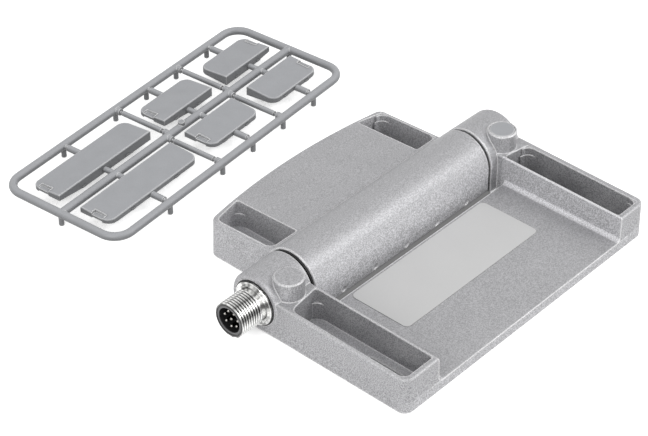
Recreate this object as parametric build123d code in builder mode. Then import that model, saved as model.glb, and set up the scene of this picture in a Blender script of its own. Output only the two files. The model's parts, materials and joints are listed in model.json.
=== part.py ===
"""Safety hinge switch: a fixed leaf with two knuckles, a moving leaf with the hinge barrel,
a contact set inside the barrel, a plug connector on the hinge line and the set of screw
covers still on its moulding frame.

Millimetres. X runs along the hinge line, +X away from the connector. Y = 0 is the hinge line,
the fixed leaf lies at -Y and the moving leaf at +Y. Z = 0 is the mounting surface.
"""
import os
from math import cos, radians, sin

from build123d import *

os.makedirs("parts", exist_ok=True)

# Hinge line and barrel
axis_z = 9.4                # hinge line above the mounting surface
barrel_radius = 10.35
barrel_half = 42.0          # half length of the turning barrel
end_gap = 1.1               # between barrel end and knuckle
barrel_flat = 0.4           # underside of the barrel above the surface
barrel_corner = 1.5
barrel_lead = 0.3           # small chamfer round the barrel's ends
dimple_middle, dimple_pitch, dimple_count = 0.7, 14.95, 5
dimple_radius, dimple_z = 1.1, 2.8

# Knuckles of the fixed leaf, the longer one away from the connector
knuckle_radius_left, knuckle_radius_right = 10.0, 10.35
knuckle_drop = 0.2          # how much the knuckle radius drops towards its outer end
knuckle_round = 1.4         # rounding of the outer end
knuckle_in = barrel_half + end_gap
left_out = -(knuckle_in + 15.2)
right_out = knuckle_in + 16.1

# Fixed leaf
leaf_depth = 60.4
plate_top = 3.6
plate_back = 13.7           # plate edge facing the barrel, clear of the turning corner
plate_lip = 3.0             # rounding of the front lip
rail_top = 13.55            # rail height on the hinge line
rail_slope = 0.8            # degrees, falling outwards
rail_left_inner = left_out + 15.1
rail_right_inner = right_out - 12.9
rail_draft = 1.0
rail_round = 3.2            # outer vertical corner
rail_edge = 0.5             # top edge rounding
root_fillet = 1.6           # plate to rail

# Screw pockets and their fixing holes
hole_radius = 3.3
hole_y = -21.0
slot_near, slot_far = -52.5, -35.0
rear_slot_near, rear_slot_far = 14.0, 29.0
front_floor = 2.5
rear_floor = 4.5
shelf_rise = 2.0            # cover shelves at the outer corners above those at the inner ones
well_corner = 3.4           # corner radius of the deep well
cap_inner_corner = 0.9      # corner radii of the upper part that holds a cover
cap_outer_corner = 2.6
pocket_rim = 0.2
front_wall = 2.1            # pocket to front face
front_seat = 8.6            # height of the inner shelves in the front pockets
# outer side, inner side and the slanted back end at its inner and outer corner
front_pockets = (
    (left_out + 1.4, rail_left_inner - 1.1, -12.2, -13.9),
    (right_out - 2.3, rail_right_inner + 0.9, -12.6, -14.2),
)

# Bosses on the knuckles
boss_x = knuckle_in + 8.24
boss_y = -7.81
boss_radius = 4.86
boss_top = 19.9
plug_radius = 4.26
plug_height = 1.35
lock_radius = 2.5

# Moving leaf
leaf_left = -(barrel_half - 0.1)
leaf_right = barrel_half - 1.75
leaf_side = 35.4            # side length from the hinge line
leaf_middle = 39.3          # reach of the bowed outer edge
leaf_root = -3.0            # the flat underside runs in below the barrel
leaf_draft = 1.6
leaf_top = 15.6
leaf_slope = 2.8
leaf_edge = 1.2
leaf_corner = 3.2
rear_seat = 9.6             # height of the inner shelves in the rear pockets
rear_pocket_near = 9.7
rear_pocket_far, rear_pocket_end = 35.4, 33.1       # slanted far end at its inner and outer corner
# outer side and inner side
rear_pockets = (
    (leaf_left + 1.3, leaf_left + 12.9),
    (leaf_right - 1.95, leaf_right - 11.35),
)

# Bores and running parts
bore_radius = 7.5
pivot_radius = 4.2
running_fit = 0.05
press_gap = 0.02
sleeve_bore = 2.6
head_radius = 6.0
core_half = barrel_half - 6.2       # half length of the contact carrier
bush_in, bush_out = barrel_half - 5.8, barrel_half - 0.8
seal_radius = 9.7
seal_depth = 0.6                    # how deep the ring sits in the barrel end
seal_proud = 0.6                    # how far it stands into the gap

# Cam and contacts, heights taken from the hinge line
cam_radius = 6.0            # inner radius with the leaves flat
cam_drop = 1.2              # plunger stroke
cam_turn = 176.0            # hinge travel in degrees
cam_half = 3.0
plunger_half = 1.2
tip_gap = 0.15
bridge_half = 10.0
bridge_z = 1.9
bridge_thick = 0.4
contact_gap = 0.2
strip_thick = 0.4
strip_out = 13.0
lead_radius = 0.3
spring_turns, spring_wire, spring_coil = 5, 0.12, 0.55

# Connector on the hinge line, its stations counted outwards from the left knuckle face
flange_radius = 7.5
flange_hole = 7.92
flange_proud = 0.9
thread_radius = 6.0
thread_start = 2.9
thread_reach = 11.4
insert_radius = 5.0
socket_radius = 4.3
socket_depth = 6.1
pin_ring = 2.75
pin_radius = 0.45
pin_count = 7
thread_tip = left_out - thread_reach
socket_floor = thread_tip + socket_depth
shell_back = left_out + 4.8
collar_in = left_out + 6.4          # inner face of the sleeve's collar
collar_radius = 5.4

# Name plate, its margins taken from the rails and the plate's back edge
label_left, label_right, label_back = 13.1, 12.7, 0.9
label_depth = 23.2
label_corner = 2.0
label_thick = 0.15

# Cover moulding, laid out in its own frame
mould_origin = (-6.0, 87.6)
mould_angle = 5.2
runner_radius = 1.45
runner_z = 4.3
runner_corner = 6.6
runner_left, runner_right = -57.7, 62.7
runner_near, runner_mid, runner_far = -25.1, -0.8, 23.9
post_radius = 0.9
gate_radius, gate_neck, gate_start = 1.15, 0.7, 2.3
bar_radius, bar_neck, bar_clear = 0.95, 0.5, 3.7
pad_radius, pad_reach = 1.25, 2.6
gate_gap = 0.05
nub_x = 3.0
far_inner, far_outer = 3.9, 16.2
near_inner, near_outer = -5.4, -17.7
cover_top_inner, cover_top_outer = 6.6, 5.75
cover_deep, cover_shallow = 3.6, 1.9        # depth at the inner and the outer side
cover_plate = 1.3
cover_wall = 1.2
cover_corner = 3.2
cover_edge = 0.4
bevel_depth, bevel_length = 2.2, 12.0       # thinner stretch at the notched end
notch_half, notch_deep, notch_shift = 2.2, 1.9, 0.9

hinge_axis = Axis((0, 0, axis_z), (1, 0, 0))


def save(piece, name):
    """Label a finished piece and write it out."""
    piece.part.label = name
    export_step(piece.part, f"parts/{name}.step")


def box(x0, x1, y0, y1, z0, z1, mode=Mode.ADD):
    """Block between two corners."""
    with Locations(((x0 + x1) / 2, (y0 + y1) / 2, (z0 + z1) / 2)):
        Box(abs(x1 - x0), abs(y1 - y0), abs(z1 - z0), mode=mode)


def axle(x0, x1, radius, mode=Mode.ADD):
    """Cylinder on the hinge line between two stations."""
    with Locations(Location(((x0 + x1) / 2, 0, axis_z), (0, 90, 0))):
        Cylinder(radius, abs(x1 - x0), mode=mode)


def upright(x, y, z0, z1, radius, mode=Mode.ADD):
    """Standing cylinder."""
    with Locations((x, y, (z0 + z1) / 2)):
        Cylinder(radius, z1 - z0, mode=mode)


def slot(x, y0, y1, half, z0, z1):
    """Tool for a round-ended slot along Y."""
    with BuildPart() as tool:
        with BuildSketch(Plane.XY.offset(z0)):
            with Locations((x, (y0 + y1) / 2)):
                SlotOverall(y1 - y0, 2 * half, rotation=90)
        extrude(amount=z1 - z0)
    return tool.part


def screw_pocket(x_inner, x_outer, y_near, far_inner, far_outer, floor, seat, top):
    """Tool for a screw pocket: the upper part has tighter corners than the well, which leaves
    small tilted shelves for a cover."""

    def prism(z0, inner_radius, outer_radius):
        with BuildPart() as solid:
            with BuildSketch(Plane.XY.offset(z0)):
                with BuildLine():
                    Polyline((x_inner, y_near), (x_outer, y_near), (x_outer, far_outer),
                             (x_inner, far_inner), close=True)
                shape = make_face()
                corners = shape.vertices().sort_by(Axis.X)
                radii = (inner_radius, outer_radius) if x_inner < x_outer else (outer_radius, inner_radius)
                fillet(corners[:2], radii[0])
                fillet(corners[2:], radii[1])
            extrude(amount=top - z0, dir=(0, 0, 1))
        return solid.part

    tilt = shelf_rise / (x_outer - x_inner)
    shelf = Plane((x_inner, 0, seat), x_dir=(0, 1, 0), z_dir=(-tilt, 0, 1))
    with BuildPart() as tool:
        add(prism(seat, cap_inner_corner, cap_outer_corner))
        split(bisect_by=shelf, keep=Keep.TOP)
        add(prism(floor, well_corner, well_corner))
    return tool.part


# Fixed leaf
def rail(x_outer, x_inner):
    """One side rail: drafted block with a falling top and rounded corners."""
    side = 1 if x_outer > 0 else -1
    with BuildPart() as form:
        with BuildSketch(Plane.XY):
            with Locations(((x_outer + x_inner) / 2, -leaf_depth / 2)):
                outline = Rectangle(abs(x_outer - x_inner), leaf_depth)
            front = outline.vertices().group_by(Axis.Y)[0].sort_by(Axis.X)
            fillet(front[-1 if side > 0 else 0], rail_round)
            fillet(front[0 if side > 0 else -1], rail_edge * 1.4)
        extrude(amount=rail_top + 2, taper=rail_draft)
        top = Plane((0, 0, rail_top), x_dir=(1, 0, 0),
                    z_dir=(0, -sin(radians(rail_slope)), cos(radians(rail_slope))))
        split(bisect_by=top, keep=Keep.BOTTOM)
        rim = form.faces().sort_by(Axis.Z)[-1].edges().filter_by(lambda e: e.center().Y < -1)
        fillet(rim, rail_edge)
    return form.part


def knuckle(side, x_out, radius):
    """Round end of the hinge line: a slightly coned barrel with a square front foot."""
    x_in = side * knuckle_in
    small = radius - knuckle_drop
    lead = 0.3                  # small chamfer at the inner end
    x_soft = x_out - side * knuckle_round
    with BuildPart() as form:
        with BuildSketch(Plane.XZ):
            with BuildLine():
                Polyline((x_out, axis_z + small - knuckle_round), (x_out, axis_z), (x_in, axis_z),
                         (x_in, axis_z + radius - lead), (x_in + side * lead, axis_z + radius),
                         (x_soft, axis_z + small))
                TangentArc((x_soft, axis_z + small), (x_out, axis_z + small - knuckle_round),
                           tangent=(side, -knuckle_drop / abs(x_out - x_in)))
            make_face()
        revolve(axis=hinge_axis)
        box(x_in, x_soft, -radius, 0, 0, axis_z)
        box(-80, 80, -30, 30, -10, 0, mode=Mode.SUBTRACT)
    return form.part


def front_pocket(x_outer, x_inner, back_inner, back_outer):
    """Tool for a rail's screw pocket with its hole near the hinge and its slot near the front."""
    x_mid = (x_outer + x_inner) / 2
    y_front = -leaf_depth + front_wall
    with BuildPart() as tool:
        add(screw_pocket(x_inner, x_outer, y_front, back_inner, back_outer, front_floor, front_seat,
                         rail_top + 4))
        add(slot(x_mid, slot_near, slot_far, hole_radius, -1, front_floor + 1))
        upright(x_mid, hole_y, -1, front_floor + 1, hole_radius)
    return tool.part


with BuildPart() as front_leaf:
    with BuildSketch(Plane.YZ.offset(rail_left_inner - 4)):
        with BuildLine():
            Polyline((-leaf_depth, 0), (-plate_back, 0), (-plate_back, plate_top),
                     (-leaf_depth, plate_top), close=True)
        plate = make_face()
        fillet(plate.vertices().sort_by(Axis.Y)[0:2].sort_by(Axis.Z)[-1], plate_lip)
    extrude(amount=rail_right_inner - rail_left_inner + 8)
    add(rail(left_out, rail_left_inner))
    add(rail(right_out, rail_right_inner))
    roots = front_leaf.edges().filter_by(Axis.Y).filter_by(
        lambda e: abs(e.center().Z - plate_top) < 0.3 and e.length > 30)
    fillet(roots, root_fillet)
    add(knuckle(-1, left_out, knuckle_radius_left))
    add(knuckle(1, right_out, knuckle_radius_right))
    for side in (-1, 1):
        upright(side * boss_x, boss_y, plate_top, boss_top, boss_radius)
    tops = front_leaf.edges().filter_by(GeomType.CIRCLE).filter_by(
        lambda e: abs(e.center().Z - boss_top) < 0.01 and abs(e.radius - boss_radius) < 0.01)
    chamfer(tops, 0.3)
    for x_outer, x_inner, back_inner, back_outer in front_pockets:
        add(front_pocket(x_outer, x_inner, back_inner, back_outer), mode=Mode.SUBTRACT)
    rail_tops = front_leaf.faces().filter_by(
        lambda f: f.normal_at().Z > 0.99 and rail_top - 2 < f.center().Z < rail_top + 0.1)
    fillet([edge for face in rail_tops for wire in face.inner_wires() for edge in wire.edges()], pocket_rim)
    # bores on the hinge line, left for the connector and sleeve, right for the pivot pin
    axle(left_out - 1, left_out + 2.3, flange_hole, mode=Mode.SUBTRACT)
    axle(left_out + 1.3, collar_in, collar_radius + 0.2, mode=Mode.SUBTRACT)
    axle(collar_in - 1, -barrel_half, pivot_radius + press_gap, mode=Mode.SUBTRACT)
    axle(barrel_half, knuckle_in + 5, pivot_radius + press_gap, mode=Mode.SUBTRACT)
    axle(knuckle_in + 4.1, right_out + 1, head_radius + press_gap, mode=Mode.SUBTRACT)
    # seat of the boss plug and the lock screw hole below it
    upright(boss_x, boss_y, boss_top - plug_height - 0.05, boss_top + 1, plug_radius + press_gap,
            mode=Mode.SUBTRACT)
    upright(boss_x, boss_y, 5.0, boss_top, lock_radius + press_gap, mode=Mode.SUBTRACT)
save(front_leaf, "front_leaf")

with BuildPart() as name_plate:
    x0, x1 = rail_left_inner + label_left, rail_right_inner - label_right
    with BuildSketch(Plane.XY.offset(plate_top)):
        with Locations(((x0 + x1) / 2, -plate_back - label_back - label_depth / 2)):
            RectangleRounded(x1 - x0, label_depth, label_corner)
    extrude(amount=label_thick)
save(name_plate, "name_plate")

# Moving leaf
def barrel_section(radius, flat):
    """Round barrel with a straight front and a flat underside, sketched across the hinge line."""
    with Locations((0, axis_z)):
        Circle(radius)
    with Locations((0, (axis_z + flat) / 2)):
        Rectangle(2 * radius, axis_z - flat)
    with Locations((0, flat - 5)):
        Rectangle(40, 10, mode=Mode.SUBTRACT)


def ring_section(radius):
    """Round end ring, cut flat above the barrel's underside."""
    with Locations((0, axis_z)):
        Circle(radius)
    with Locations((0, barrel_flat + 0.7 - 5)):
        Rectangle(40, 10, mode=Mode.SUBTRACT)


def end_ring(side, x0, x1, radius):
    """Solid ring blank between two distances from the middle of the hinge line."""
    with BuildPart() as blank:
        with BuildSketch(Plane.YZ.offset(side * x0)):
            ring_section(radius)
        extrude(amount=x1 - x0, dir=(side, 0, 0))
    return blank.part


def barrel():
    """Turning barrel with lightly chamfered ends."""
    with BuildPart() as form:
        with BuildSketch(Plane.YZ.offset(-barrel_half)) as section:
            barrel_section(barrel_radius, barrel_flat)
            front_foot = section.vertices().filter_by(lambda v: v.X < 0 and abs(v.Y - barrel_flat) < 0.01)
            fillet(front_foot, barrel_corner)
        extrude(amount=2 * barrel_half)
        ends = form.faces().filter_by(Axis.X)
        chamfer(ends.edges(), barrel_lead)
    return form.part


def rear_pocket(x_outer, x_inner):
    """Tool for a screw pocket of the moving leaf with its slanted far end."""
    with BuildPart() as tool:
        add(screw_pocket(x_inner, x_outer, rear_pocket_near, rear_pocket_far, rear_pocket_end,
                         rear_floor, rear_seat, leaf_top + 4))
        add(slot((x_outer + x_inner) / 2, rear_slot_near, rear_slot_far, hole_radius, -1, rear_floor + 1))
    return tool.part


with BuildPart() as rear_leaf:
    with BuildSketch(Plane.XY):
        with BuildLine():
            Polyline((leaf_left, leaf_side), (leaf_left, leaf_root),
                     (leaf_right, leaf_root), (leaf_right, leaf_side))
            ThreePointArc((leaf_right, leaf_side), ((leaf_left + leaf_right) / 2, leaf_middle),
                          (leaf_left, leaf_side))
        outline = make_face()
        fillet(outline.vertices().sort_by(Axis.Y)[-2:], leaf_corner)
    extrude(amount=leaf_top + 2, taper=leaf_draft)
    slope = radians(leaf_slope)
    roof = Plane((0, 0, leaf_top), x_dir=(1, 0, 0), z_dir=(0, sin(slope), cos(slope)))
    split(bisect_by=roof, keep=Keep.BOTTOM)
    rim = rear_leaf.faces().sort_by(Axis.Z)[-1].edges().filter_by(lambda e: e.center().Y > 4)
    fillet(rim, leaf_edge)
    add(barrel())
    for x_outer, x_inner in rear_pockets:
        add(rear_pocket(x_outer, x_inner), mode=Mode.SUBTRACT)
    axle(-barrel_half - 8, barrel_half + 8, bore_radius, mode=Mode.SUBTRACT)
    for side in (-1, 1):
        add(end_ring(side, barrel_half - seal_depth, barrel_half + 1, seal_radius + press_gap),
            mode=Mode.SUBTRACT)
    for k in range(dimple_count):
        x = dimple_middle + (k - (dimple_count - 1) / 2) * dimple_pitch
        with Locations(Location((x, -barrel_radius, dimple_z), (90, 0, 0))):
            Cylinder(dimple_radius, 0.9, mode=Mode.SUBTRACT)
save(rear_leaf, "rear_leaf")

# Pivots, bushes and seals
with BuildPart() as pivot_sleeve:
    axle(left_out + 5.1, -core_half - 0.2, pivot_radius)
    axle(left_out + 5.0, collar_in, collar_radius)
    axle(left_out + 4, -core_half + 1, sleeve_bore, mode=Mode.SUBTRACT)
save(pivot_sleeve, "pivot_sleeve")

with BuildPart() as pivot_pin:
    axle(core_half + 0.2, knuckle_in + 5, pivot_radius)
    axle(knuckle_in + 4.2, right_out - 0.6, head_radius)
    axle(core_half - 1, core_half + 3.2, sleeve_bore, mode=Mode.SUBTRACT)
    # flat that the lock screw stands against
    box(knuckle_in + 4, right_out, -8, boss_y + lock_radius + 0.06, 0, 20, mode=Mode.SUBTRACT)
save(pivot_pin, "pivot_pin")

with BuildPart() as bush_left:
    axle(-bush_out, -bush_in, bore_radius - press_gap)
    axle(-bush_out - 1, -bush_in + 1, pivot_radius + running_fit, mode=Mode.SUBTRACT)
save(bush_left, "bush_left")

with BuildPart() as bush_right:
    axle(bush_in, bush_out, bore_radius - press_gap)
    axle(bush_in - 1, bush_out + 1, pivot_radius + running_fit, mode=Mode.SUBTRACT)
save(bush_right, "bush_right")


def gap_seal(side):
    """Dark ring in the barrel end, standing proud into the gap."""
    with BuildPart() as ring:
        add(end_ring(side, barrel_half - seal_depth + press_gap, barrel_half + seal_proud, seal_radius))
        axle(side * (barrel_half - 2), side * (knuckle_in + 1), pivot_radius + 0.3, mode=Mode.SUBTRACT)
    return ring


gap_seal_left = gap_seal(-1)
save(gap_seal_left, "gap_seal_left")
gap_seal_right = gap_seal(1)
save(gap_seal_right, "gap_seal_right")

with BuildPart() as lock_screw:
    upright(boss_x, boss_y, 5.2, 15.2, lock_radius)
    chamfer(lock_screw.edges().filter_by(GeomType.CIRCLE), 0.4)
    with BuildSketch(Plane((boss_x, boss_y, 12.8))):
        RegularPolygon(1.4, 6)
    extrude(amount=4, mode=Mode.SUBTRACT)
save(lock_screw, "lock_screw")

with BuildPart() as boss_plug:
    upright(boss_x, boss_y, boss_top - plug_height, boss_top, plug_radius)
    chamfer(boss_plug.faces().sort_by(Axis.Z)[-1].edges(), 0.25)
save(boss_plug, "boss_plug")

# Cam and plunger
def cam_inner(angle):
    """Inner radius of the cam at an angle in degrees, where 90 is upwards with the leaves flat."""
    turned = 90 - angle
    pressed = min(max(turned, 0), cam_turn) / cam_turn
    if turned > cam_turn + 10:
        pressed = max(0, 1 - (turned - cam_turn - 10) / (350 - cam_turn - 20))
    return cam_radius - cam_drop * pressed


with BuildPart() as cam_ring:
    axle(-cam_half, cam_half, bore_radius - press_gap)
    with BuildSketch(Plane.YZ.offset(-cam_half - 1)):
        with BuildLine():
            spots = [(cam_inner(a) * cos(radians(a)), axis_z + cam_inner(a) * sin(radians(a)))
                     for a in range(95, -265, -10)]
            Spline(*spots, periodic=True)
        make_face()
    extrude(amount=2 * cam_half + 2, mode=Mode.SUBTRACT)
save(cam_ring, "cam_ring")

with BuildPart() as plunger:
    tip = cam_radius - tip_gap
    box(-plunger_half, plunger_half, -plunger_half, plunger_half, axis_z - 1.6, axis_z + tip - plunger_half)
    with Locations(Location((0, 0, axis_z + tip - plunger_half), (0, 90, 0))):
        Cylinder(plunger_half, 2 * plunger_half)
    upright(0, 0, axis_z - 2, axis_z + 1.2, 0.8, mode=Mode.SUBTRACT)
    box(-3, 3, -0.9, 0.9, axis_z + bridge_z, axis_z + bridge_z + bridge_thick, mode=Mode.SUBTRACT)
save(plunger, "plunger")

with BuildPart() as contact_bridge:
    box(-bridge_half, bridge_half, -0.9, 0.9, axis_z + bridge_z, axis_z + bridge_z + bridge_thick)
    fillet(contact_bridge.edges().filter_by(Axis.Z), 0.5)
save(contact_bridge, "contact_bridge")

# Contact carrier, strips and leads
strip_top = bridge_z - cam_drop - contact_gap
ledge = axis_z + strip_top - strip_thick
well_floor = axis_z - 3.2

with BuildPart() as contact_carrier:
    axle(-core_half, core_half, pivot_radius)
    # tongues that keep the carrier in line with the sleeve and the pin
    for side in (-1, 1):
        box(side * (core_half - 1), side * (core_half + 2.8), -1.5, 1.5, axis_z - 2.0, axis_z - 1.2)
    # contact chamber, open towards the front, with a deep middle for the plunger and its spring
    box(-strip_out - 1, strip_out + 1, -5, 2.9, ledge, axis_z + 3.1, mode=Mode.SUBTRACT)
    box(-4, 4, -5, 1.4, well_floor, ledge + 1, mode=Mode.SUBTRACT)
    box(-plunger_half - 0.1, plunger_half + 0.1, -plunger_half - 0.1, plunger_half + 0.1,
        axis_z, axis_z + 6, mode=Mode.SUBTRACT)
    # channel for the leads
    box(-core_half - 4, -strip_out, -1.2, 2.4, ledge - 0.2, ledge + 0.7, mode=Mode.SUBTRACT)
save(contact_carrier, "contact_carrier")

with BuildPart() as contact_strips:
    box(-strip_out, -6, -1.2, 0.9, ledge, ledge + strip_thick)
    box(6, strip_out, -1.2, 1.5, ledge, ledge + strip_thick)
    box(-strip_out, strip_out, 1.5, 2.4, ledge, ledge + strip_thick)
save(contact_strips, "contact_strips")

lead_end = left_out - 1.7
with BuildPart() as signal_leads:
    for y in (-0.6, 1.95):
        with Locations(Location(((lead_end - strip_out) / 2, y, ledge + 0.2), (0, 90, 0))):
            Cylinder(lead_radius, -strip_out - lead_end)
save(signal_leads, "signal_leads")

with BuildPart() as plunger_spring:
    # the hair-thin wire is kept six-sided
    rise = axis_z + 1.2 - well_floor - 2 * spring_wire - 0.1
    with BuildLine():
        coils = Helix(pitch=rise / spring_turns, height=rise, radius=spring_coil,
                      center=(0, 0, well_floor + spring_wire + 0.05))
    with BuildSketch(Plane(origin=coils @ 0, z_dir=coils % 0)):
        RegularPolygon(spring_wire, 6)
    sweep(path=coils, is_frenet=True)
save(plunger_spring, "plunger_spring")

# Connector
with BuildPart() as connector_shell:
    flange_out = left_out - flange_proud
    barrel_out = left_out - thread_start + 0.4
    rear_out = left_out - 1.7
    with BuildSketch(Plane.XZ):
        with BuildLine():
            Polyline((shell_back, axis_z + 3.4), (shell_back, axis_z + 5.57), (left_out + 2.1, axis_z + 5.57),
                     (left_out + 2.1, axis_z + flange_radius), (flange_out + 0.3, axis_z + flange_radius),
                     (flange_out, axis_z + flange_radius - 0.3), (flange_out, axis_z + thread_radius + 0.6),
                     (rear_out, axis_z + thread_radius + 0.6), (rear_out, axis_z + 5.3),
                     (barrel_out, axis_z + 5.3), (left_out - thread_start, axis_z + thread_radius),
                     (thread_tip + 0.6, axis_z + thread_radius), (thread_tip, axis_z + 5.5),
                     (thread_tip, axis_z + insert_radius + press_gap),
                     (rear_out, axis_z + insert_radius + press_gap), (rear_out, axis_z + 3.4), close=True)
        make_face()
    revolve(axis=hinge_axis)
save(connector_shell, "connector_shell")

with BuildPart() as connector_seal:
    axle(left_out - 0.3, left_out + 2.2, flange_hole - 0.04)
    axle(left_out - 2, left_out + 3, flange_radius + 0.04, mode=Mode.SUBTRACT)
save(connector_seal, "connector_seal")

with BuildPart() as connector_insert:
    axle(thread_tip + 0.2, left_out - 1.74, insert_radius)
    axle(thread_tip - 1, socket_floor, socket_radius, mode=Mode.SUBTRACT)
    # coding key on the socket wall
    box(thread_tip + 0.7, socket_floor, -0.5, 0.5, axis_z + 3.7, axis_z + 4.6)
save(connector_insert, "connector_insert")

with BuildPart() as connector_pins:
    turns = [radians(360 * (k + 0.5) / pin_count) for k in range(pin_count)]
    for y, z in [(0, 0)] + [(pin_ring * sin(t), pin_ring * cos(t)) for t in turns]:
        with Locations(Location((socket_floor - 2.6, y, axis_z + z), (0, 90, 0))):
            Cylinder(pin_radius, 5.2)
    chamfer(connector_pins.edges().group_by(Axis.X)[0], 0.2)
save(connector_pins, "connector_pins")

# Cover moulding
mould = Plane(origin=(*mould_origin, 0), x_dir=(cos(radians(mould_angle)), sin(radians(mould_angle)), 0),
              z_dir=(0, 0, 1))


def rod(u, v0, v1, radius):
    """Round rod across the moulding at runner height, between two stations of its own frame."""
    centre = mould.from_local_coords(Vector(u, (v0 + v1) / 2, runner_z))
    with Locations(Plane(origin=centre, z_dir=mould.y_dir).location):
        Cylinder(radius, abs(v1 - v0))


def post(u, v):
    """Short foot under a runner."""
    foot = mould.from_local_coords(Vector(u, v, 0))
    upright(foot.X, foot.Y, 0, runner_z, post_radius)


# Gates that hold the covers and peg bars, each with its station and its side of the middle runner
cover_gates = ((-29.3, 1), (13.3, 1), (46.4, 1), (-32.0, -1), (11.4, -1), (45.2, -1))
inner_gates = (-30.9, 12.2, 45.9)
peg_gates = ((-2.9, 1), (29.4, 1), (-4.9, -1), (28.0, -1))


def row(side):
    """Outer runner, inner and outer cover edge on one side of the middle runner."""
    return (runner_far, far_inner, far_outer) if side > 0 else (runner_near, near_inner, near_outer)


with BuildPart() as cover_frame:
    with BuildLine(mould.offset(runner_z)):
        loop = FilletPolyline((runner_left, runner_near), (runner_right, runner_near),
                              (runner_right, runner_far), (runner_left, runner_far),
                              radius=runner_corner, close=True)
    with BuildSketch(Plane(origin=loop @ 0, z_dir=loop % 0)):
        Circle(runner_radius)
    sweep(path=loop)
    middle = mould.from_local_coords(Vector((runner_left + runner_right) / 2, runner_mid, runner_z))
    with Locations(Plane(origin=middle, z_dir=mould.x_dir).location):
        Cylinder(runner_radius, runner_right - runner_left)
    for u, side in cover_gates:
        runner, inner, outer = row(side)
        post(u, runner)
        rod(u, runner, runner - side * gate_start, gate_neck)
        rod(u, runner - side * gate_start, outer + side * gate_gap, gate_radius)
    for u in inner_gates:
        rod(u, near_inner + gate_gap, far_inner - gate_gap, gate_radius * 0.9)
    for u, side in peg_gates:
        runner, inner, outer = row(side)
        post(u, runner)
        for line, towards in ((runner, -side), (runner_mid, side)):
            rod(u, line, line + towards * pad_reach, pad_radius)
            rod(u, line + towards * pad_reach, line + towards * bar_clear, bar_neck)
    for u in (runner_left, runner_right):
        post(u, runner_mid)
    # nub where the plastic was let in
    nub = mould.from_local_coords(Vector(nub_x, runner_mid, 0))
    upright(nub.X, nub.Y, runner_z, runner_z + 2.2, 1.2)
save(cover_frame, "cover_frame")

with BuildPart() as cover_pegs:
    for u, side in peg_gates:
        runner, inner, outer = row(side)
        rod(u, runner - side * bar_clear, runner_mid + side * bar_clear, bar_radius)
save(cover_pegs, "cover_pegs")


def cover(u_notch, u_end, v_inner, v_outer):
    """Hollow screw cover: its top and underside close up towards the outer side, and the end
    with the pry notch is thinner."""
    along = 1 if u_end > u_notch else -1
    across = 1 if v_outer > v_inner else -1
    length, width = abs(u_end - u_notch), abs(v_outer - v_inner)
    u_mid, v_mid = (u_notch + u_end) / 2, (v_inner + v_outer) / 2
    fall = (cover_top_inner - cover_top_outer) / width
    rise = (cover_top_outer - cover_shallow - cover_top_inner + cover_deep) / width
    bevel = (cover_deep - bevel_depth) / bevel_length

    def prism(shrink, corner):
        with BuildPart() as solid:
            with BuildSketch(Plane.XY):
                with Locations((u_mid, v_mid)):
                    shape = Rectangle(length - 2 * shrink, width - 2 * shrink)
                rows = shape.vertices().group_by(Axis.Y)
                fillet(rows[-1] if across > 0 else rows[0], cover_corner - shrink)
                fillet(rows[0] if across > 0 else rows[-1], corner)
            extrude(amount=cover_top_inner + 1)
            lid = cover_plate if shrink else 0
            split(bisect_by=Plane((0, v_inner, cover_top_inner - lid), x_dir=(1, 0, 0),
                                  z_dir=(0, across * fall, 1)), keep=Keep.BOTTOM)
        return solid.part

    with BuildPart() as form:
        add(prism(0, 0.8))
        fillet(form.faces().sort_by(Axis.Z)[-1].edges(), cover_edge)
        add(prism(cover_wall, 0.4), mode=Mode.SUBTRACT)
        split(bisect_by=Plane((0, v_inner, cover_top_inner - cover_deep), x_dir=(1, 0, 0),
                              z_dir=(0, -across * rise, 1)), keep=Keep.TOP)
        split(bisect_by=Plane((u_notch, 0, cover_top_inner - bevel_depth), x_dir=(0, 1, 0),
                              z_dir=(along * bevel, 0, 1)), keep=Keep.TOP)
        # pry notch in the thin end, open below
        v_notch = v_mid + across * notch_shift
        top = cover_top_inner - fall * abs(v_notch - v_inner)
        box(u_notch - along, u_notch + along * notch_deep, v_notch - notch_half, v_notch + notch_half,
            top - 0.45, top + 2, mode=Mode.SUBTRACT)
        box(u_notch - along, u_notch + along * (cover_wall + 0.1), v_notch - notch_half, v_notch + notch_half,
            0, top - cover_plate, mode=Mode.SUBTRACT)
    return mould.location * form.part


covers = {
    "long_cover_far": (-53.1, -7.7, far_inner, far_outer),
    "long_cover_near": (-53.3, -8.3, near_inner, near_outer),
    "middle_cover_far": (-0.4, 25.1, far_inner, far_outer),
    "middle_cover_near": (-0.9, 24.5, near_inner, near_outer),
    "end_cover_far": (57.4, 33.1, far_inner, far_outer),
    "end_cover_near": (57.4, 32.7, near_inner, near_outer),
}
for name, sizes in covers.items():
    with BuildPart() as screw_cover:
        add(cover(*sizes))
    save(screw_cover, name)
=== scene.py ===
"""Safety hinge switch with its screw covers: finishes, small turned and moulded detail,
studio light and camera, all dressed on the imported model."""

import json
from math import cos, pi, radians, sin, tau

import bmesh
import bpy
from mathutils import Matrix, Vector
from mathutils.bvhtree import BVHTree


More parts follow.
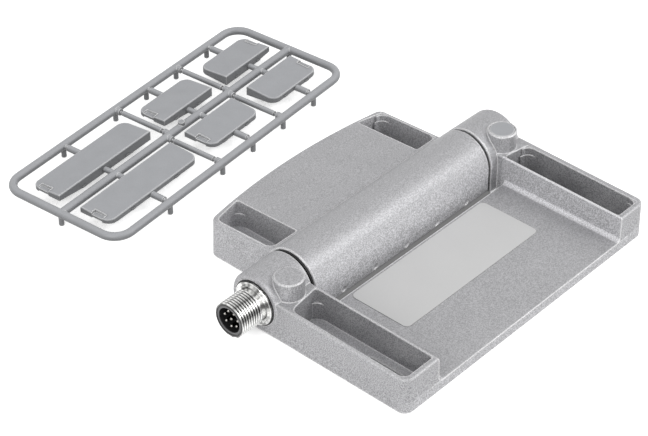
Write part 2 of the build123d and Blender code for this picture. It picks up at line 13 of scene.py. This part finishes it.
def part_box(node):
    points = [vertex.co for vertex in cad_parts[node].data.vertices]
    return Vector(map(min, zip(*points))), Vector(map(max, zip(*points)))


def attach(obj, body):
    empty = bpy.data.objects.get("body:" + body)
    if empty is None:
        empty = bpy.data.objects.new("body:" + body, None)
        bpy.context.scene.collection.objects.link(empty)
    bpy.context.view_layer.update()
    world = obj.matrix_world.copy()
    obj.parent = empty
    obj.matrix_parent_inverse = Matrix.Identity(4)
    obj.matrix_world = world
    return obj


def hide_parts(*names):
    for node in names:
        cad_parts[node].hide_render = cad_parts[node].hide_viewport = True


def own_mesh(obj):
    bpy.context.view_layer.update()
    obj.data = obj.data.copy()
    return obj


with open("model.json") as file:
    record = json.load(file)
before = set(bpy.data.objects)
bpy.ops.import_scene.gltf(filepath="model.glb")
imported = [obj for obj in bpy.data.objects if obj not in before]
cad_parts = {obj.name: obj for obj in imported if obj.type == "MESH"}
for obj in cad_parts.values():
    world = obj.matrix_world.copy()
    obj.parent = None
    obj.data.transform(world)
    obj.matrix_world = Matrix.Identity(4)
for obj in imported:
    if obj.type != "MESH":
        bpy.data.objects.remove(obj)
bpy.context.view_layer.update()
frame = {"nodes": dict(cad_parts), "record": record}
nodes = frame["nodes"]
MM = 0.001

# Hinge line and connector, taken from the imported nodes
seal_low, seal_high = [Vector(v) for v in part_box("connector_seal")]
AXIS_Z = (seal_low.z + seal_high.z) / 2
TIP_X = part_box("connector_shell")[0][0]         # open end of the connector
PIN_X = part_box("connector_pins")[0][0]          # free ends of the contact pins
FACE_X = seal_low.x + 0.3 * MM                  # outer face of the left knuckle

# Space under the barrel, in millimetres: along X, then along Y in front of the hinge line
BARREL_HALF = 43.2
BARREL_FRONT = -11
CHANNEL = (-13.9, -2.0)

# Cover moulding, which lies turned on the table. Each cover has the end with its pry notch, the
# way its length runs from there, that length, and the places of its two long walls.
MOULD_AT = Vector((-6.0, 87.6, 0)) * MM
MOULD_TURN = Matrix.Rotation(radians(5.2), 4, "Z")
FAR_WALLS, NEAR_WALLS = (3.9, 16.2), (-5.4, -17.7)
COVERS = {
    "long_cover_far": (-53.1, 1, 45.4, FAR_WALLS),
    "long_cover_near": (-53.3, 1, 45.4, NEAR_WALLS),
    "middle_cover_far": (-0.4, 1, 24.9, FAR_WALLS),
    "middle_cover_near": (-0.9, 1, 24.9, NEAR_WALLS),
    "end_cover_far": (57.4, -1, 24.9, FAR_WALLS),
    "end_cover_near": (57.4, -1, 24.9, NEAR_WALLS),
}

# Pocket corners: body, corner, the way from the corner into the pocket, well floor, cover shelf,
# radius above the shelf, rim
WELL_RADIUS = 3.4
POCKETS = {
    "front_left_back": ("fixed_leaf", (-44.3, -12.2), (-1, -1), 2.45, 8.6, 0.9, 13.2),
    "front_left_front": ("fixed_leaf", (-44.3, -58.3), (-1, 1), 2.45, 8.6, 0.9, 12.5),
    "front_right_back": ("fixed_leaf", (56.9, -14.2), (-1, -1), 2.45, 10.6, 2.6, 13.2),
    "front_right_front": ("fixed_leaf", (56.9, -58.3), (-1, 1), 2.45, 10.6, 2.6, 12.5),
    "rear_left_far": ("moving_leaf", (-29.0, 35.4), (-1, -1), 4.45, 9.6, 0.9, 13.7),
    "rear_left_near": ("moving_leaf", (-29.0, 9.7), (-1, 1), 4.45, 9.6, 0.9, 14.9),
    "rear_right_far": ("moving_leaf", (38.3, 33.1), (-1, -1), 4.45, 11.6, 2.6, 13.7),
    "rear_right_near": ("moving_leaf", (38.3, 9.7), (-1, 1), 4.45, 11.6, 2.6, 14.9),
}

# Studio
FLOOR_TONE = (0.80, 0.80, 0.80)
FLOOR_GLOW = 0.72           # lifts the open floor to white
CHANNEL_GLOW = 0.24         # share of it on the floor that shows in front of the barrel; the rest is taken away there as painted shade
DIFFUSE_SKY = 0.55          # how much of the white surroundings lights the object
LAMPS = {"key": (0.7, 6.6, (0.62, -0.88, 0.82)), "fill": (0.8, 7.4, (-1.1, -0.35, 0.65))}

# The photograph's viewpoint, found from the object's own edges
AZIMUTH, ELEVATION = radians(-47.88), radians(37.63)
LOOK_AT = Vector((-4.03, 20.83, 0)) * MM
DISTANCE = 721.46 * MM
FOCAL_PIXELS, PHOTO_WIDTH, SENSOR = 2221.23, 648, 36.0


# Shader maths
class Wire:
    """A shader value that is added, multiplied and compared like a number."""

    def __init__(self, web, socket):
        self.web, self.socket = web, socket

    def math(self, operation, *values, clamp=False):
        settings = {"operation": operation, "use_clamp": clamp}
        return self.web.node("ShaderNodeMath", settings, **{f"i{k}": v for k, v in enumerate(values)})

    def __add__(self, other):
        return self.math("ADD", self, other)

    def __radd__(self, other):
        return self.math("ADD", other, self)

    def __sub__(self, other):
        return self.math("SUBTRACT", self, other)

    def __rsub__(self, other):
        return self.math("SUBTRACT", other, self)

    def __mul__(self, other):
        return self.math("MULTIPLY", self, other)

    def __rmul__(self, other):
        return self.math("MULTIPLY", other, self)

    def __pow__(self, other):
        return self.math("POWER", self, other)

    def __lt__(self, other):
        return self.math("LESS_THAN", self, other)

    def __gt__(self, other):
        return self.math("GREATER_THAN", self, other)

    def held(self):
        """The value kept between 0 and 1."""
        return self.math("ADD", self, 0.0, clamp=True)

    def rise(self, low, high):
        """0 at low, 1 at high, and straight between them."""
        return ((self - low) * (1 / (high - low))).held()

    def within(self, low, high):
        """1 between two places given in millimetres, and 0 elsewhere."""
        return (self > low * MM) * (self < high * MM)


class Web:
    """A node tree with its closing shader, and short ways to add nodes and link them."""

    def __init__(self, tree, shader):
        self.tree, self.shader = tree, tree.nodes[shader]

    def plug(self, socket, value):
        """Link a wire to a socket, or set the socket's own value."""
        if isinstance(value, Wire):
            self.tree.links.new(value.socket, socket)
        else:
            socket.default_value = value

    def set(self, label, value):
        self.plug(self.shader.inputs[label], value)

    def node(self, kind, settings=None, out=0, **sockets):
        """Add a node, with its settings first and its sockets by name or as i0, i1, ..."""
        made = self.tree.nodes.new(kind)
        for label, value in (settings or {}).items():
            setattr(made, label, value)
        for label, value in sockets.items():
            key = int(label[1:]) if label[1:].isdigit() else label.replace("_", " ")
            self.plug(made.inputs[key], value)
        return Wire(self, made.outputs[out])

    def seen(self):
        """1 for rays of the camera, of gloss and of glass, 0 for those that light the object."""
        ways = [self.node("ShaderNodeLightPath", out=f"Is {way} Ray")
                for way in ("Camera", "Glossy", "Transmission")]
        return (ways[0] + ways[1] + ways[2]).held()


class Finish(Web):
    """A material with its Principled shader and short ways to add patterns."""

    def __init__(self, name, color, roughness, metallic=0.0):
        self.material = bpy.data.materials.new(name)
        self.material.use_nodes = True
        super().__init__(self.material.node_tree, "Principled BSDF")
        self.set("Base Color", (*color, 1.0))
        self.set("Roughness", roughness)
        self.set("Metallic", metallic)
        self.place = self.node("ShaderNodeTexCoord", out="Object")

    def noise(self, size, detail=2.0, rough=0.5, place=None):
        """Soft noise whose spots are about size millimetres across."""
        return self.node("ShaderNodeTexNoise", Vector=place or self.place, Scale=1 / (size * MM),
                         Detail=detail, Roughness=rough)

    def mix(self, factor, first, second):
        """Colour between two, each a wire or three numbers."""
        first, second = [c if isinstance(c, Wire) else (*c, 1) for c in (first, second)]
        return self.node("ShaderNodeMix", {"data_type": "RGBA"}, out=2, i0=factor, i6=first, i7=second)

    def share(self, vector, axis):
        """X, Y or Z of a vector."""
        return self.node("ShaderNodeSeparateXYZ", out="XYZ".index(axis), Vector=vector)

    def axes(self):
        """X, Y and Z of the place on the piece."""
        return [self.share(self.place, axis) for axis in "XYZ"]

    def facing(self, axis):
        """How far the piece's own surface faces along an axis, from -1 to 1."""
        return self.share(self.node("ShaderNodeTexCoord", out="Normal"), axis)

    def rounding(self, radius):
        """Normal rounded over the edges, radius in millimetres."""
        return self.node("ShaderNodeBevel", {"samples": 4}, Radius=radius * MM)

    def edges(self, rounded):
        """0 on flats and up to 1 where the rounded normal leaves the true one."""
        true = self.node("ShaderNodeNewGeometry", out="Normal")
        turn = self.node("ShaderNodeVectorMath", {"operation": "DOT_PRODUCT"}, out="Value",
                         i0=rounded, i1=true)
        return ((1 - turn) * 9.0).held()

    def bump(self, height, strength, distance, normal=None):
        """Relief of a pattern, distance in millimetres."""
        extra = {"Normal": normal} if normal else {}
        self.set("Normal", self.node("ShaderNodeBump", Height=height, Strength=strength,
                                     Distance=distance * MM, **extra))


def scaled(color, factor):
    return [part * factor for part in color]


# Finishes
def cast_metal(name="silver_coated_casting", corner=False):
    """Zinc casting with a fine silver coat: sandy grain, slight cloudiness, edges painted bright
    as highlights. On a pocket corner only the level rim of the shelf gets the painted highlight."""
    finish = Finish(name, (0.41, 0.41, 0.415), 0.45, 0.35)
    sand = finish.noise(0.34, 1.5, 0.6)
    cloud = finish.noise(9.0)
    speck = sand.rise(0.40, 0.60)
    rounded = finish.rounding(0.7)
    # painted highlight along every edge, broken a little by the grain
    edge_highlight = finish.edges(rounded) * (0.75 + 0.25 * speck)
    if corner:
        # on a corner piece the painted highlight is kept only where the rounded normal faces up, on the
        # shelf rim
        edge_highlight = edge_highlight * finish.share(rounded, "Z").rise(0.08, 0.30)

    # imitates the photograph's light, by the way a wall faces and by where it is: the tones
    # of these places are painted, and aren't the coat's own
    x, y, z = finish.axes()
    left, front = [(-1 * finish.facing(axis)).held() for axis in "XY"]
    up = finish.facing("Z")
    before_hinge = y < -12 * MM
    rail_wall = x.within(44, 50) * before_hinge
    wells = (x.within(-54, -41) + x.within(55, 58.4)) * before_hinge
    plate = x.within(-41, 54) * (y < -14 * MM)
    rear_wells = x.within(-39.8, 39.8) * y.within(8, 36) * (z < 13 * MM)
    barrel = x.within(-BARREL_HALF, BARREL_HALF) * (y > BARREL_FRONT * MM)
    tones = (
        (-0.09, left * (x < -50 * MM)),                             # left flank of the fixed leaf
        (0.24, left * rail_wall),                                   # inner wall of the right rail
        (0.35, rail_wall * (left > 0.2) * (up > 0.15)),             # fillet at the foot of that wall
        (-0.30, wells * (left > 0.5) * (z < 15 * MM)),              # long walls of the front wells
        (0.55, z.within(2, 4.8) * (up > 0.9) * (1 - plate)),        # well floors
        (-0.08, rear_wells * (1 - up.held())),                      # walls of the rear wells
        (0.45, barrel * front.rise(0.80, 1.0)),                     # low front of the barrel
        (-0.15, front * (y < -56 * MM) * (z > 4 * MM)),             # front ends of the rails
    )
    shade = 1.0
    for strength, area in tones:
        shade = shade + strength * area

    # the grain is weaker on level faces, which imitates light that grazes the walls
    grain = 0.5 + (speck - 0.5) * (1 - 0.38 * up.held())
    tone = finish.mix(0.85 * grain + 0.15 * cloud, (0.251, 0.250, 0.258), (0.578, 0.576, 0.594))
    tone = finish.node("ShaderNodeVectorMath", {"operation": "SCALE"}, i0=tone, Scale=shade)
    # the edges are painted white over the tone, as highlights
    finish.set("Base Color", finish.mix(edge_highlight, tone, (1.0, 1.0, 1.0)))
    finish.set("Roughness", 0.36 + 0.20 * sand)
    finish.bump(sand, 0.5, 0.05, finish.rounding(0.4))
    return finish.material


def cover_plastic():
    """Moulded plastic: faint mottle and grain, rims painted paler as highlights. The side walls
    are painted deeper, to imitate the shade that the photograph shows on them."""
    light, roughness = (0.380, 0.388, 0.406), 0.42
    finish = Finish("cover_plastic", light, roughness)
    grain = finish.noise(0.25, 3.0, 0.6)
    cloud = finish.noise(6.0)
    rounded = finish.rounding(0.6)
    top = finish.facing("Z").rise(0.0, 0.92)
    tone = finish.mix(0.7 * grain + 0.3 * cloud, scaled(light, 0.76), scaled(light, 1.22))
    # darker colour for the side walls: painted shade
    wall = finish.mix(0.5 * grain + 0.5 * cloud, scaled(light, 0.34), scaled(light, 0.44))
    # painted highlight on the rims, stronger where they face up
    rim = finish.edges(rounded) * (0.35 + 0.65 * top)
    finish.set("Base Color", finish.mix(rim, finish.mix(top, wall, tone), (1.0, 1.0, 1.0)))
    finish.set("Roughness", roughness - 0.06 + 0.12 * grain)
    finish.bump(grain, 0.22, 0.03, rounded)
    return finish.material


def nickel_plate():
    """Nickel plate on the threaded shell: bright crests, thread roots painted dark as shade, fine turning
    lines.
    """
    finish = Finish("nickel_plate", (0.8, 0.78, 0.74), 0.2, 1.0)
    x, y, z = finish.axes()
    off = z - AXIS_Z
    radius = (y * y + off * off) ** 0.5
    # painted shade: below the crests, in the thread roots, the colour goes nearly black
    crest = radius.rise(5.50 * MM, 5.86 * MM)
    unthreaded = x > FACE_X - 2.6 * MM
    # painted dark streaks along the shell: they stand in for reflections of dark things in a
    # room, which the white room here doesn't give
    round_way = finish.node("ShaderNodeMath", {"operation": "ARCTAN2"}, i0=off, i1=y)
    streak = finish.noise(0.42 / MM, 1.0, place=finish.node("ShaderNodeCombineXYZ", X=round_way))
    light = (crest + unthreaded).held() * (0.30 + 0.70 * streak.rise(0.40, 0.56))
    lines = finish.noise(0.12, 1.0, place=finish.node("ShaderNodeCombineXYZ", X=x))
    tone = finish.mix(light, (0.05, 0.05, 0.05), (0.86, 0.86, 0.85))
    finish.set("Base Color", finish.mix(0.12 * lines, tone, (0.55, 0.54, 0.52)))
    finish.set("Roughness", 0.16 + 0.12 * lines)
    finish.bump(lines, 0.10, 0.004)
    return finish.material


def contact_pins():
    """Contact pins: polished ends, shafts painted dark to imitate the shade of the socket."""
    finish = Finish("gold_pins", (0.90, 0.84, 0.70), 0.2, 1.0)
    x = finish.axes()[0]
    grain = finish.noise(0.1)
    bright = finish.mix(grain, (0.22, 0.21, 0.20), (0.34, 0.33, 0.31))
    finish.set("Base Color", finish.mix(x < PIN_X + 0.25 * MM, (0.06, 0.055, 0.05), bright))
    finish.set("Roughness", 0.18 + 0.1 * grain)
    finish.bump(grain, 0.1, 0.003)
    return finish.material


def insert_plastic():
    """Contact insert: grey rim at the mouth, black inside the socket."""
    finish = Finish("insert_plastic", (0.02, 0.02, 0.022), 0.45)
    x = finish.axes()[0]
    grain = finish.noise(0.3)
    tone = finish.mix(x < TIP_X + 0.45 * MM, (0.010, 0.010, 0.011), (0.14, 0.14, 0.145))
    finish.set("Base Color", finish.mix(0.2 * grain, tone, (0.05, 0.05, 0.05)))
    finish.set("Roughness", 0.40 + 0.12 * grain)
    finish.bump(grain, 0.2, 0.01)
    return finish.material


def bare_foil():
    """Bare name plate: pale matte foil with a thin darker cut edge."""
    finish = Finish("bare_label_foil", (0.62, 0.62, 0.62), 0.5, 0.1)
    fibre = finish.noise(0.5)
    cloud = finish.noise(14.0, 1.0)
    rim = finish.edges(finish.rounding(0.25))
    tone = finish.mix(0.5 * fibre + 0.5 * cloud, (0.58, 0.58, 0.58), (0.64, 0.64, 0.64))
    finish.set("Base Color", finish.mix(rim, tone, (0.10, 0.10, 0.10)))
    finish.set("Roughness", 0.46 + 0.1 * fibre)
    finish.bump(fibre, 0.15, 0.01)
    return finish.material


def plain(name, color, roughness, metallic=0.0, depth=0.02):
    """Moulded or turned finish with a fine grain, its relief in millimetres."""
    finish = Finish(name, color, roughness, metallic)
    grain = finish.noise(0.3)
    finish.set("Base Color", finish.mix(grain, scaled(color, 0.9), color))
    finish.set("Roughness", roughness - 0.06 + 0.12 * grain)
    finish.bump(grain, 0.2, depth)
    return finish.material


finishes = {
    "die_cast": cast_metal(),
    "label_foil": bare_foil(),
    "nickel_plate": nickel_plate(),
    "seal_rubber": plain("seal_rubber", (0.012, 0.012, 0.013), 0.6),
    "insert_plastic": insert_plastic(),
    "gold_pins": contact_pins(),
    "bright_steel": plain("bright_steel", (0.42, 0.42, 0.43), 0.35, 0.9, depth=0.004),
    "dark_steel": plain("dark_steel", (0.08, 0.08, 0.085), 0.4, 0.8, depth=0.004),
    "cover_plastic": cover_plastic(),
    "carrier_plastic": plain("carrier_plastic", (0.10, 0.11, 0.13), 0.45),
    "contact_metal": plain("contact_metal", (0.75, 0.48, 0.30), 0.3, 1.0, depth=0.003),
    "lead_insulation": plain("lead_insulation", (0.25, 0.13, 0.06), 0.4),
    "spring_steel": plain("spring_steel", (0.55, 0.55, 0.56), 0.25, 1.0, depth=0.003),
    "bush_plastic": plain("bush_plastic", (0.75, 0.74, 0.68), 0.4),
    "plunger_plastic": plain("plunger_plastic", (0.55, 0.07, 0.04), 0.4),
}
corner_metal = cast_metal("casting_in_the_corners", corner=True)
# darker copy of the cover plastic for the snap ribs: painted shade
shaded_plastic = plain("shaded_cover_plastic", (0.17, 0.172, 0.176), 0.45)
slot_of = {part["node"]: part["material_slot"] for part in frame["record"]["subparts"]}
for name, node in nodes.items():
    node.data.materials.clear()
    node.data.materials.append(finishes[slot_of[name]])


# Pieces
def piece(bm, name, body, slot, finish=None):
    """Turn a finished bmesh into a piece that rides on a body and takes a slot's finish or its own."""
    bmesh.ops.remove_doubles(bm, verts=bm.verts, dist=0.002 * MM)
    bmesh.ops.recalc_face_normals(bm, faces=bm.faces)
    for face in bm.faces:
        face.smooth = True
    mesh = bpy.data.meshes.new(name)
    bm.to_mesh(mesh)
    bm.free()
    mesh.set_sharp_from_angle(angle=radians(35))
    made = bpy.data.objects.new(name, mesh)
    bpy.context.collection.objects.link(made)
    made.data.materials.append(finish or finishes[slot])
    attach(made, body)
    return made


def raise_face(bm, faces, height):
    """Extrude faces straight up, and return the edges that were made."""
    grown = bmesh.ops.extrude_face_region(bm, geom=faces)["geom"]
    bmesh.ops.translate(bm, verts=[v for v in grown if isinstance(v, bmesh.types.BMVert)],
                        vec=(0, 0, height))
    return [e for e in grown if isinstance(e, bmesh.types.BMEdge)]


def soften(bm, geom, offset, segments, affect="EDGES"):
    bmesh.ops.bevel(bm, geom=geom, offset=offset, offset_type="OFFSET", affect=affect,
                    segments=segments, profile=0.5, material=-1)


def turned(bm, outline):
    """Revolve a closed outline of (x, radius) points, in millimetres, about the hinge line."""
    verts = [bm.verts.new((x * MM, 0, AXIS_Z + r * MM)) for x, r in outline]
    rim = [bm.edges.new(pair) for pair in zip(verts, verts[1:] + verts[:1])]
    bmesh.ops.spin(bm, geom=verts + rim, cent=(0, 0, AXIS_Z), axis=(1, 0, 0), angle=tau,
                   steps=72, use_merge=True)


def threaded_shell():
    """Plug shell: flange with a groove, neck, and a cut thread of 1 mm pitch."""
    face, tip = FACE_X / MM, TIP_X / MM
    bm = bmesh.new()
    turned(bm, [(face + 4.8, 3.4), (face + 4.8, 5.57), (face + 2.1, 5.57), (face + 2.1, 7.5),
                (face - 0.15, 7.5), (face - 0.15, 7.25), (face - 0.4, 7.25), (face - 0.4, 7.5),
                (face - 0.7, 7.5), (face - 0.9, 7.3), (face - 0.9, 6.6), (face - 1.7, 6.6),
                (face - 1.7, 5.45), (tip + 0.25, 5.45), (tip, 5.3), (tip, 5.02), (face - 1.7, 5.02),
                (face - 1.7, 3.4)])
    # thread ridge, swept along the shell by a spin with a rise, then trimmed at both ends
    pitch, turns, per_turn = 1.0, 10, 48
    root, crest, root_half, crest_half = 5.40, 6.0, 0.47, 0.10
    start, end = face - 2.9, tip + 0.15
    first = start + pitch
    section = [(first + root_half, root), (first + crest_half, crest),
               (first - crest_half, crest), (first - root_half, root)]
    ridge = bmesh.new()
    verts = [ridge.verts.new((x * MM, 0, AXIS_Z + r * MM)) for x, r in section]
    flat = ridge.faces.new(verts)
    bmesh.ops.spin(ridge, geom=[*verts, *flat.edges, flat], cent=(0, 0, AXIS_Z), axis=(1, 0, 0),
                   dvec=(-pitch * MM / per_turn, 0, 0), angle=tau * turns, steps=per_turn * turns)
    for x, way in ((start, 1), (end, -1)):
        cut = bmesh.ops.bisect_plane(ridge, geom=[*ridge.verts, *ridge.edges, *ridge.faces],
                                     plane_co=(x * MM, 0, 0), plane_no=(way, 0, 0), clear_outer=True)
        rims = [e for e in cut["geom_cut"] if isinstance(e, bmesh.types.BMEdge)]
        bmesh.ops.contextual_create(ridge, geom=rims)
    mesh = bpy.data.meshes.new("ridge")
    ridge.to_mesh(mesh)
    ridge.free()
    bm.from_mesh(mesh)
    bpy.data.meshes.remove(mesh)
    made = piece(bm, "threaded_shell", "fixed_leaf", "nickel_plate")
    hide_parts("connector_shell")


def coil_spring():
    """Round-wire spring under the contact plunger, made at one length, though the real one shortens
    as the plunger is pushed down.
    """
    coil, wire, turns, per_turn = 0.55, 0.12, 5, 28
    foot, head = 6.25, 10.55
    bm = bmesh.new()
    centre = Vector((coil * MM, 0, (foot + wire) * MM))
    ring = bmesh.ops.create_circle(bm, cap_ends=False, segments=10, radius=wire * MM,
                                   matrix=Matrix.Translation(centre) @ Matrix.Rotation(pi / 2, 4, "X"))
    rim = list({e for v in ring["verts"] for e in v.link_edges})
    rise = (head - foot - 2 * wire) * MM
    steps = turns * per_turn
    grown = bmesh.ops.spin(bm, geom=[*ring["verts"], *rim], cent=(0, 0, 0), axis=(0, 0, 1),
                           dvec=(0, 0, rise / steps), angle=tau * turns, steps=steps)
    last = [e for e in grown["geom_last"] if isinstance(e, bmesh.types.BMEdge)]
    for end in (rim, last):
        bmesh.ops.contextual_create(bm, geom=end)
    made = piece(bm, "coil_spring", "fixed_leaf", "spring_steel")
    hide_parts("plunger_spring")
    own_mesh(made)


def corner_fill(name, body, corner, way, radius, z_low, z_high):
    """Round a square pocket corner up to a height: the corner point and an arc about the centre
    that lies radius away along both walls, raised as one block that reaches into both walls."""
    (x, y), (sx, sy) = corner, way
    reach = 0.25
    bm = bmesh.new()
    centre = Vector(((x + sx * radius) * MM, (y + sy * radius) * MM, z_low * MM))
    start = bm.verts.new(centre - Vector((sx * radius * MM, 0, 0)))
    arc = bmesh.ops.spin(bm, geom=[start], cent=centre, axis=(0, 0, 1), angle=sx * sy * pi / 2, steps=10)
    end = arc["geom_last"][0]
    outer = [bm.verts.new(Vector(((x + dx) * MM, (y + dy) * MM, z_low * MM)))
             for dx, dy in ((sx * radius, -sy * reach), (-sx * reach, -sy * reach),
                            (-sx * reach, sy * radius))]
    for pair in zip([end, *outer], [*outer, start]):
        bm.edges.new(pair)
    face = bmesh.ops.contextual_create(bm, geom=bm.edges[:])["faces"]
    raise_face(bm, face, (z_high - z_low) * MM)
    piece(bm, name, body, "die_cast", corner_metal)


def pocket_corners():
    """Well corners and cover shelves of the pockets: a wide radius below the shelf, a tight one above."""
    overlap = 0.5
    for name, (body, corner, way, floor, shelf, tight, rim) in POCKETS.items():
        corner_fill(f"{name}_well_corner", body, corner, way, WELL_RADIUS, floor, shelf)
        corner_fill(f"{name}_rim_corner", body, corner, way, tight, shelf - overlap, rim)


def bare_name_plate():
    """Blank name plate: thin foil with rounded corners, let down on the floor plate."""
    (x0, y0, z0), (x1, y1, z1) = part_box("name_plate")
    x0 -= 1.1 * MM          # the real one reaches this much further left
    bm = bmesh.new()
    verts = [bm.verts.new(c) for c in ((x0, y0, z0), (x1, y0, z0), (x1, y1, z0), (x0, y1, z0))]
    bm.faces.new(verts)
    soften(bm, verts, 2.0 * MM, 8, affect="VERTICES")
    raise_face(bm, bm.faces[:], z1 - z0)
    made = piece(bm, "bare_name_plate", "fixed_leaf", "label_foil")
    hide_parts("name_plate")


def mould_place(u, v, z=0.0):
    """Point of the moulding's own frame, in millimetres, on the table."""
    return MOULD_AT + MOULD_TURN @ Vector((u * MM, v * MM, z * MM))


def skin(name):
    """A node's surface, to be probed with rays."""
    mesh = nodes[name].data
    return BVHTree.FromPolygons([v.co for v in mesh.vertices], [p.vertices for p in mesh.polygons])


def bar_between(bm, a, b, width, height):
    """Thin ridge lying on a surface from a to b, with its upper edges broken."""
    sunk = 0.15 * MM
    run = b - a
    side = Vector((-run.y, run.x, 0)).normalized() * width / 2
    drop = Vector((0, 0, -sunk))
    face = bm.faces.new([bm.verts.new(p + drop) for p in (a - side, b - side, b + side, a + side)])
    crown = raise_face(bm, [face], height + sunk)
    soften(bm, crown, height * 0.45, 2)


def notch_frames():
    """Raised frame round the pry notch of each cover."""
    above, fallback = 50, 6         # where the probing rays start, and the height where one finds nothing
    inset, reach, half_width, aside = 0.5, 2.2, 2.45, 0.9
    for name, (u_end, along, length, (v_inner, v_outer)) in COVERS.items():
        cover = skin(name)
        across = 1 if v_outer > v_inner else -1
        v_mid = (v_inner + v_outer) / 2 + across * aside
        corners = []
        for u, v in ((inset, -half_width), (reach, -half_width), (reach, half_width), (inset, half_width)):
            point = mould_place(u_end + along * u, v_mid + v)
            hit = cover.ray_cast(Vector((point.x, point.y, above * MM)), Vector((0, 0, -1)))[0]
            point.z = hit.z if hit else fallback * MM
            corners.append(point)
        bm = bmesh.new()
        for a, b in zip(corners, corners[1:]):
            bar_between(bm, a, b, 0.40 * MM, 0.26 * MM)
        piece(bm, f"{name}_notch_frame", "cover_moulding", "cover_plastic")


def snap_ribs():
    """Two small snap ribs low on each long wall of a cover, just above the wall's lower edge."""
    size = Matrix.Diagonal((2.0 * MM, 0.9 * MM, 0.8 * MM, 1))
    lift = 0.45 * MM
    for name, (u_end, along, length, walls) in COVERS.items():
        cover = skin(name)
        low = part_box(name)[0][2] / MM
        bm = bmesh.new()
        for part in (0.26, 0.74):
            for edge, way in ((min(walls), 1), (max(walls), -1)):
                # rays from outside the wall, from its foot upwards, until one meets it
                u, v = u_end + along * length * part, edge - way * 1.5
                for step in range(14):
                    start = mould_place(u, v, low + 0.2 + 0.25 * step)
                    hit = cover.ray_cast(start, MOULD_TURN @ Vector((0, way, 0)), 2.4 * MM)[0]
                    if hit:
                        break
                else:
                    continue
                hit.z += lift
                place = Matrix.Translation(hit) @ MOULD_TURN @ size
                cube = bmesh.ops.create_cube(bm, size=1.0, matrix=place)
                soften(bm, list({e for v in cube["verts"] for e in v.link_edges}), 0.28 * MM, 3)
        piece(bm, f"{name}_snap_ribs", "cover_moulding", "cover_plastic", shaded_plastic)


threaded_shell()
coil_spring()
pocket_corners()
bare_name_plate()
notch_frames()
snap_ribs()


# Studio
def paper_floor():
    """Pale floor: white where it lies open. Where the object covers it, and in a strip in front of the
    barrel, its colour is painted dark as shade; its glow goes out under the object and is cut down in
    that strip, also as painted shade.
    """
    bm = bmesh.new()
    bmesh.ops.create_grid(bm, x_segments=1, y_segments=1, size=3.0)
    bmesh.ops.translate(bm, verts=bm.verts, vec=(0, 0, -0.2 * MM))
    mesh = bpy.data.meshes.new("floor")
    bm.to_mesh(mesh)
    bm.free()
    floor = bpy.data.objects.new("floor", mesh)
    bpy.context.collection.objects.link(floor)
    paper = Finish("white_paper", FLOOR_TONE, 0.9)
    openness = paper.node("ShaderNodeAmbientOcclusion", {"samples": 8}, out="AO", Distance=9 * MM)
    x, y, z = paper.axes()
    channel = x.within(-BARREL_HALF, BARREL_HALF) * y.within(*CHANNEL)
    # painted shade: the floor counts as open only where the object doesn't cover it and outside the strip
    # in front of the barrel
    bare = openness.rise(0.06, 0.26) * (1 - channel)
    glow = paper.seen() * (bare + CHANNEL_GLOW * channel)
    # the floor's colour is painted dark as shade where it isn't open, and its glow is cut down there
    paper.set("Base Color", paper.mix(bare, (0.02, 0.02, 0.02), FLOOR_TONE))
    paper.set("Emission Color", paper.mix(glow, (0, 0, 0), (1, 1, 1)))
    paper.set("Emission Strength", FLOOR_GLOW)
    paper.bump(paper.noise(0.8), 0.05, 0.02)
    floor.data.materials.append(paper.material)


def white_room():
    """Surroundings that look white and light the object softly."""
    world = bpy.data.worlds.new("white_room")
    bpy.context.scene.world = world
    world.use_nodes = True
    room = Web(world.node_tree, "Background")
    room.set("Color", (1, 1, 1, 1))
    room.set("Strength", DIFFUSE_SKY + (1 - DIFFUSE_SKY) * room.seen())


def lamps():
    """Large soft lamps that point at the origin."""
    for name, (size, power, at) in LAMPS.items():
        light = bpy.data.lights.new(name, "AREA")
        light.shape = "SQUARE"
        light.size, light.energy = size, power
        stand = bpy.data.objects.new(name, light)
        bpy.context.collection.objects.link(stand)
        stand.matrix_world = (-Vector(at)).to_track_quat("-Z", "Y").to_matrix().to_4x4()
        stand.matrix_world.translation = Vector(at)


def camera():
    """Camera at the photograph's viewpoint."""
    back = Vector((sin(AZIMUTH) * cos(ELEVATION), -cos(AZIMUTH) * cos(ELEVATION), sin(ELEVATION)))
    right = Vector((cos(AZIMUTH), sin(AZIMUTH), 0))
    up = back.cross(right)
    lens = bpy.data.cameras.new("camera")
    lens.sensor_fit, lens.sensor_width = "HORIZONTAL", SENSOR
    lens.lens = FOCAL_PIXELS * SENSOR / PHOTO_WIDTH
    lens.clip_start, lens.clip_end = 0.01, 20
    stand = bpy.data.objects.new("camera", lens)
    bpy.context.collection.objects.link(stand)
    turn = Matrix((right, up, back)).transposed().to_4x4()
    turn.translation = LOOK_AT + back * DISTANCE
    stand.matrix_world = turn
    bpy.context.scene.camera = stand


paper_floor()
white_room()
lamps()
camera()
bpy.context.scene.view_settings.view_transform = "Standard"
